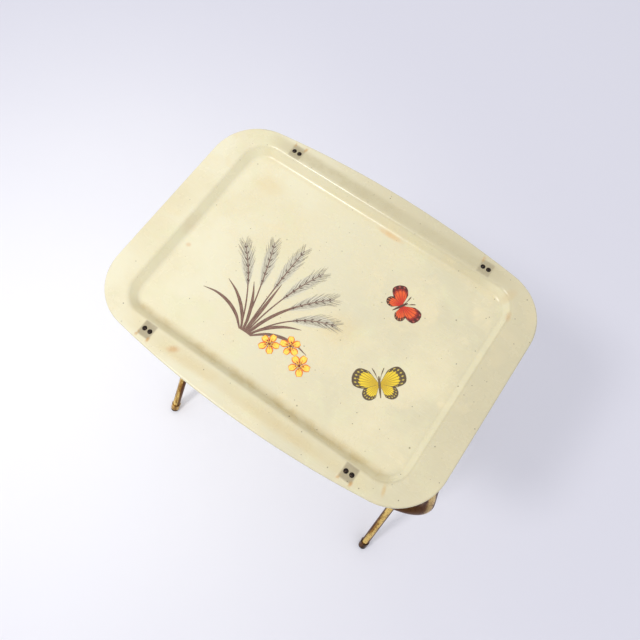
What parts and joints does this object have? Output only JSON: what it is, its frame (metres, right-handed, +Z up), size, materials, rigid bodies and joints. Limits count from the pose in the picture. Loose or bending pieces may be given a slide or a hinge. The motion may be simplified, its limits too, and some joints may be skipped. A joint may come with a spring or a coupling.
{
  "type": "folding tray table",
  "caption": "Folding tray table: a shallow moulded tray with printed flowers and butterflies, clipped onto a crossed brass-finished tube stand.",
  "frame": {"origin": "on the floor, under the middle of the stand", "axes": "+Z up, X along the tray's long side, -Y towards the person sitting at the table"},
  "size_m": [0.5838, 0.424, 0.662],
  "materials": {
    "fibreglass": "cream translucent fibreglass moulding, semi-gloss, lightly stained",
    "dark_rivet": "dark domed rivet, semi-gloss",
    "spring_steel": "tarnished spring strip with light rust",
    "brassed_tube": "worn brass plating with brown tarnish spots",
    "brass_ferrule": "worn brass plating",
    "pivot_steel": "plated steel, dulled",
    "rubber_glide": "dark moulded rubber"
  },
  "bodies": {
    "outer_frame": {"outer_frame": "brassed_tube", "outer_saddle_left": "pivot_steel", "pivot_rivet_left": "pivot_steel", "pivot_spacer_left": "pivot_steel", "outer_saddle_right": "pivot_steel", "pivot_rivet_right": "pivot_steel", "pivot_spacer_right": "pivot_steel", "ferrule_rear_left": "brass_ferrule", "glide_rear_left": "rubber_glide", "ferrule_rear_right": "brass_ferrule", "glide_rear_right": "rubber_glide"},
    "inner_frame": {"inner_frame": "brassed_tube", "inner_saddle_left": "pivot_steel", "inner_saddle_right": "pivot_steel", "ferrule_front_left": "brass_ferrule", "glide_front_left": "rubber_glide", "ferrule_front_right": "brass_ferrule", "glide_front_right": "rubber_glide"},
    "tray": {"tray_shell": "fibreglass", "clip_front_left": "spring_steel", "clip_front_right": "spring_steel", "clip_rear_left": "spring_steel", "clip_rear_right": "spring_steel", "clip_rivet_front_left_1": "dark_rivet", "clip_rivet_front_left_2": "dark_rivet", "clip_rivet_front_right_1": "dark_rivet", "clip_rivet_front_right_2": "dark_rivet", "clip_rivet_rear_left_1": "dark_rivet", "clip_rivet_rear_left_2": "dark_rivet", "clip_rivet_rear_right_1": "dark_rivet", "clip_rivet_rear_right_2": "dark_rivet"}
  },
  "joints": [
    {"name": "tray_swing", "type": "hinge", "parent": "outer_frame", "child": "tray", "pos_m": [0, -0.175, 0.6464], "axis": [1, 0, 0], "range_deg": [0, 114]},
    {"name": "leg_fold", "type": "hinge", "parent": "outer_frame", "child": "inner_frame", "pos_m": [0, 0, 0.3495], "axis": [1, 0, 0], "range_deg": [0, 57]}
  ],
  "couplings": [
    {"joint": "leg_fold", "follows": "tray_swing", "ratio": 0.5}
  ]
}
